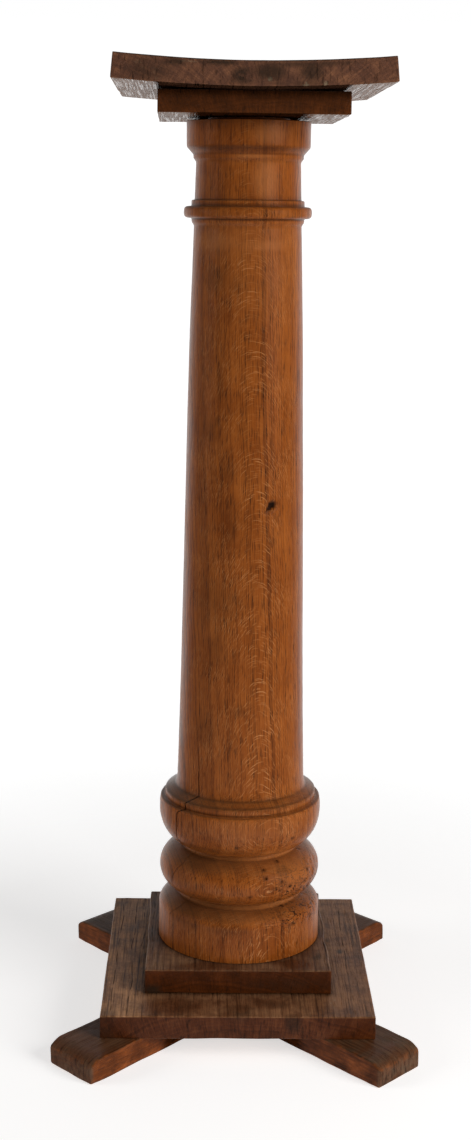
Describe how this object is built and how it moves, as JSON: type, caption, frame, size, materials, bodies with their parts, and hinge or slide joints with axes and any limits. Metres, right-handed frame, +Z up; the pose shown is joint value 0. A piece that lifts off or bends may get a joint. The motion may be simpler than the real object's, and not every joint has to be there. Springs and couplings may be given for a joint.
{
  "type": "wooden display column",
  "caption": "Turned oak display column with a tapered shaft and moulded base, between square boards on crossed foot bars.",
  "frame": {"origin": "on the floor, in the middle of the rectangle that the foot bars cover", "axes": "+Z up along the column, -Y to the front, +X to the right seen from the front; the boards' grain runs along Y"},
  "size_m": [0.4, 0.4096, 1.0841],
  "materials": {
    "turned_oak": "golden brown oak, quarter-figured, satin and worn",
    "dark_oak": "dark stained oak, satin, bare and grey underneath",
    "dusty_oak": "dark stained oak, dull and dusty, with open grain",
    "foot_oak": "warm brown oak, dark on top, satin"
  },
  "bodies": {
    "root": {"foot_bar_lower": "foot_oak", "foot_bar_upper": "foot_oak", "base_plate": "dusty_oak", "plinth_plate": "dusty_oak", "column": "turned_oak", "upper_plate": "dark_oak", "top_board": "dark_oak"}
  },
  "joints": []
}
